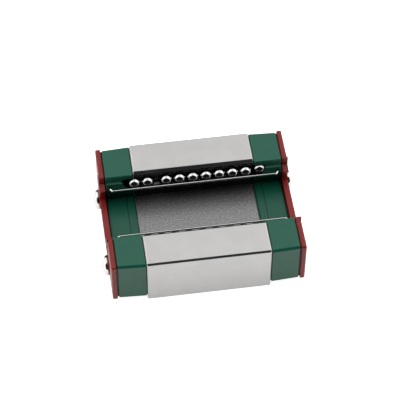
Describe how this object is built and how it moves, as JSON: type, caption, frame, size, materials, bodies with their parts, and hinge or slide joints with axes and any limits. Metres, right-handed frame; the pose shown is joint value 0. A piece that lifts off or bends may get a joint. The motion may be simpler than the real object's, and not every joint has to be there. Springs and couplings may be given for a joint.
{
  "type": "miniature linear guide carriage",
  "caption": "Ball carriage of a miniature profile rail guide, lying on its mounting face, with green end caps, red end seals, retaining wires and recirculating balls.",
  "frame": {"origin": "centre of the mounting face, which the carriage lies on", "axes": "+X along the rail, +Y across it, +Z from the mounting face to the open channel"},
  "size_m": [0.0364, 0.027, 0.01],
  "materials": {
    "ground_steel": "ground stainless steel, satin on the legs' tops and sides, coarser in the channel",
    "green_plastic": "moulded deep green plastic, soft sheen",
    "green_plastic_inner": "moulded deep green plastic, a little darker",
    "red_seal": "moulded brick red seal, soft sheen",
    "ball_steel": "polished bearing steel",
    "wire_steel": "bright drawn stainless wire",
    "plated_screw": "bright plated steel"
  },
  "bodies": {
    "carriage": {"carriage_body": "ground_steel", "end_cap_left": "green_plastic", "end_cap_right": "green_plastic", "turn_guide_left": "green_plastic_inner", "turn_guide_right": "green_plastic_inner", "end_seal_left": "red_seal", "end_seal_right": "red_seal", "cap_screw_left_front": "plated_screw", "cap_screw_left_back": "plated_screw", "cap_screw_right_front": "plated_screw", "cap_screw_right_back": "plated_screw", "retaining_wire_front": "wire_steel", "retaining_wire_back": "wire_steel"},
    "front_load_balls": {"ball_front_load_1": "ball_steel", "ball_front_load_2": "ball_steel", "ball_front_load_3": "ball_steel", "ball_front_load_4": "ball_steel", "ball_front_load_5": "ball_steel", "ball_front_load_6": "ball_steel", "ball_front_load_7": "ball_steel", "ball_front_load_8": "ball_steel", "ball_front_load_9": "ball_steel"},
    "front_right_turn_balls": {"ball_front_right_turn_1": "ball_steel", "ball_front_right_turn_2": "ball_steel"},
    "front_return_balls": {"ball_front_return_1": "ball_steel", "ball_front_return_2": "ball_steel", "ball_front_return_3": "ball_steel", "ball_front_return_4": "ball_steel", "ball_front_return_5": "ball_steel", "ball_front_return_6": "ball_steel", "ball_front_return_7": "ball_steel", "ball_front_return_8": "ball_steel", "ball_front_return_9": "ball_steel"},
    "front_left_turn_balls": {"ball_front_left_turn_1": "ball_steel", "ball_front_left_turn_2": "ball_steel"},
    "back_load_balls": {"ball_back_load_1": "ball_steel", "ball_back_load_2": "ball_steel", "ball_back_load_3": "ball_steel", "ball_back_load_4": "ball_steel", "ball_back_load_5": "ball_steel", "ball_back_load_6": "ball_steel", "ball_back_load_7": "ball_steel", "ball_back_load_8": "ball_steel", "ball_back_load_9": "ball_steel"},
    "back_right_turn_balls": {"ball_back_right_turn_1": "ball_steel", "ball_back_right_turn_2": "ball_steel"},
    "back_return_balls": {"ball_back_return_1": "ball_steel", "ball_back_return_2": "ball_steel", "ball_back_return_3": "ball_steel", "ball_back_return_4": "ball_steel", "ball_back_return_5": "ball_steel", "ball_back_return_6": "ball_steel", "ball_back_return_7": "ball_steel", "ball_back_return_8": "ball_steel", "ball_back_return_9": "ball_steel"},
    "back_left_turn_balls": {"ball_back_left_turn_1": "ball_steel", "ball_back_left_turn_2": "ball_steel"}
  },
  "joints": [
    {"name": "front_load_slide", "type": "slide", "parent": "carriage", "child": "front_load_balls", "axis": [1, 0, 0], "range_m": [-0.0005, 0.00188]},
    {"name": "front_right_turn", "type": "hinge", "parent": "carriage", "child": "front_right_turn_balls", "pos_m": [0.01085, -0.0084, 0.00762], "axis": [0, 0, 1], "range_deg": [-56.9, 15.2]},
    {"name": "front_return_slide", "type": "slide", "parent": "carriage", "child": "front_return_balls", "axis": [1, 0, 0], "range_m": [-0.0019, 0.00052]},
    {"name": "front_left_turn", "type": "hinge", "parent": "carriage", "child": "front_left_turn_balls", "pos_m": [-0.01085, -0.0084, 0.00762], "axis": [0, 0, 1], "range_deg": [-56.9, 15.2]},
    {"name": "back_load_slide", "type": "slide", "parent": "carriage", "child": "back_load_balls", "axis": [1, 0, 0], "range_m": [-0.0005, 0.00188]},
    {"name": "back_right_turn", "type": "hinge", "parent": "carriage", "child": "back_right_turn_balls", "pos_m": [0.01085, 0.0084, 0.00762], "axis": [0, 0, 1], "range_deg": [-15.2, 56.9]},
    {"name": "back_return_slide", "type": "slide", "parent": "carriage", "child": "back_return_balls", "axis": [1, 0, 0], "range_m": [-0.0019, 0.00052]},
    {"name": "back_left_turn", "type": "hinge", "parent": "carriage", "child": "back_left_turn_balls", "pos_m": [-0.01085, 0.0084, 0.00762], "axis": [0, 0, 1], "range_deg": [-15.2, 56.9]}
  ],
  "couplings": [
    {"joint": "front_right_turn", "follows": "front_load_slide", "rad_per_m": -526.32},
    {"joint": "front_return_slide", "follows": "front_load_slide", "ratio": -1},
    {"joint": "front_left_turn", "follows": "front_load_slide", "rad_per_m": -526.32},
    {"joint": "back_right_turn", "follows": "back_load_slide", "rad_per_m": 526.32},
    {"joint": "back_return_slide", "follows": "back_load_slide", "ratio": -1},
    {"joint": "back_left_turn", "follows": "back_load_slide", "rad_per_m": 526.32}
  ]
}
